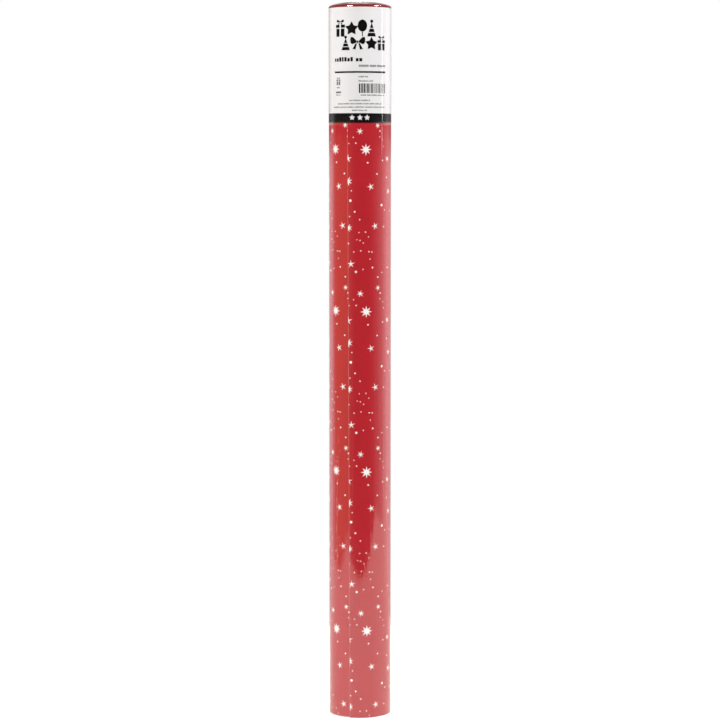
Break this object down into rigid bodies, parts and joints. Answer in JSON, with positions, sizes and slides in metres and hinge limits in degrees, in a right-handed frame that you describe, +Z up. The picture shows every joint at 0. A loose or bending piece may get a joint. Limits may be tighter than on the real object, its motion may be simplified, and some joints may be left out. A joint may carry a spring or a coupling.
{
  "type": "wrapping paper roll",
  "caption": "Roll of star-printed gift wrapping paper wound on a paperboard core, with a front label and a clear shrink-film sleeve, standing on one end.",
  "frame": {"origin": "centre of the film's flat foot, where the standing roll rests", "axes": "+Z up along the roll's axis, -Y towards the front, where the label is, +X to the right seen from the front"},
  "size_m": [0.0444, 0.0444, 0.5033],
  "materials": {
    "clear_film": "clear and glossy",
    "printed_paper": "red print with bare white stars, coated and slightly glossy",
    "label_paper": "white with black print, coated",
    "core_liner": "matte",
    "core_board": "matte",
    "pickup_glue": "dried glue"
  },
  "bodies": {
    "wrapper": {"shrink_film": "clear_film", "label": "label_paper"},
    "roll": {"paper_web": "printed_paper", "core_inner_ply": "core_liner", "core_outer_ply": "core_board", "start_glue": "pickup_glue"}
  },
  "joints": [
    {"name": "roll_turn", "type": "hinge", "parent": "wrapper", "child": "roll", "pos_m": [0, 0, 0], "axis": [0, 0, 1], "continuous": true}
  ]
}
